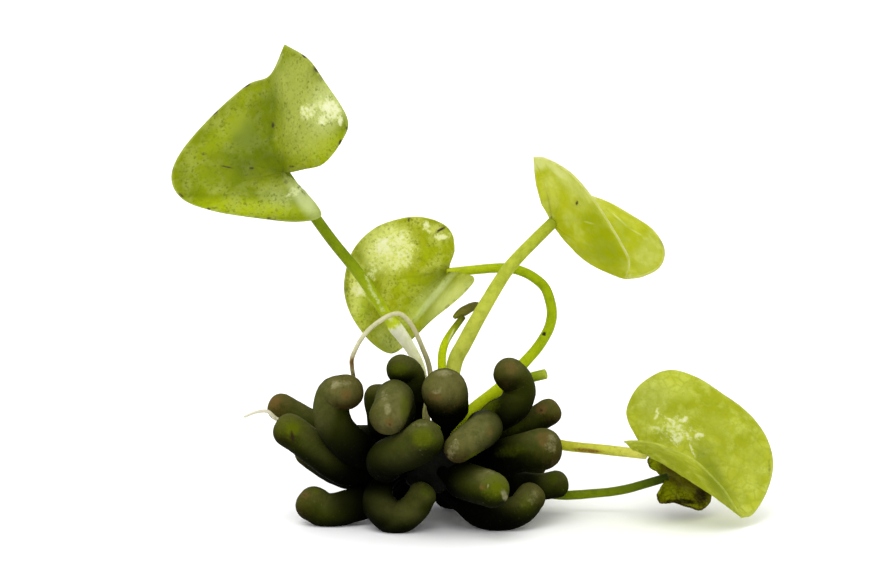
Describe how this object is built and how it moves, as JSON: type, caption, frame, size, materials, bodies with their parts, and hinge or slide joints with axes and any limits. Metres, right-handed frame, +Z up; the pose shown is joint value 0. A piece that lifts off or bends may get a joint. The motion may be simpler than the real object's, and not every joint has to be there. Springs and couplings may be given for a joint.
{
  "type": "aquarium banana plant",
  "caption": "Bare-rooted water plant that rests on a cluster of banana-shaped tubers and holds folded, heart-shaped leaves up and out on long curved stalks.",
  "frame": {"origin": "middle of the plant's footprint, on the surface that the lowest tubers rest on", "axes": "+Z up, +X towards the low leaf at the right, -Y towards the viewer of the picture"},
  "size_m": [0.1026, 0.0414, 0.0807],
  "materials": {
    "tuber": "satin",
    "crown": "matte",
    "leaf": "wet gloss",
    "stalk": "satin",
    "root": "satin",
    "withered": "matte"
  },
  "bodies": {
    "root": {"crown": "crown", "tuber_01": "tuber", "tuber_02": "tuber", "tuber_03": "tuber", "tuber_04": "tuber", "tuber_05": "tuber", "tuber_06": "tuber", "tuber_07": "tuber", "tuber_08": "tuber", "tuber_09": "tuber", "tuber_10": "tuber", "tuber_11": "tuber", "tuber_12": "tuber", "tuber_13": "tuber", "tuber_14": "tuber", "tuber_15": "tuber", "tuber_16": "tuber", "tuber_17": "tuber", "tuber_18": "tuber", "tuber_19": "tuber", "tuber_20": "tuber", "tuber_21": "tuber", "tuber_22": "tuber", "tuber_23": "tuber", "tuber_24": "tuber", "tuber_25": "tuber", "tuber_26": "tuber", "tuber_27": "tuber", "tuber_28": "tuber", "tuber_29": "tuber", "tuber_30": "tuber", "stalk_upper_left": "stalk", "stalk_middle": "stalk", "stalk_upper_right": "stalk", "stalk_lower_right": "stalk", "stalk_withered": "stalk", "stalk_young": "stalk", "stalk_cut": "stalk", "root_arched": "root", "root_short": "root", "leaf_upper_left": "leaf", "leaf_middle": "leaf", "leaf_upper_right": "leaf", "leaf_lower_right": "leaf", "leaf_withered": "withered", "young_leaf": "withered"}
  },
  "joints": []
}
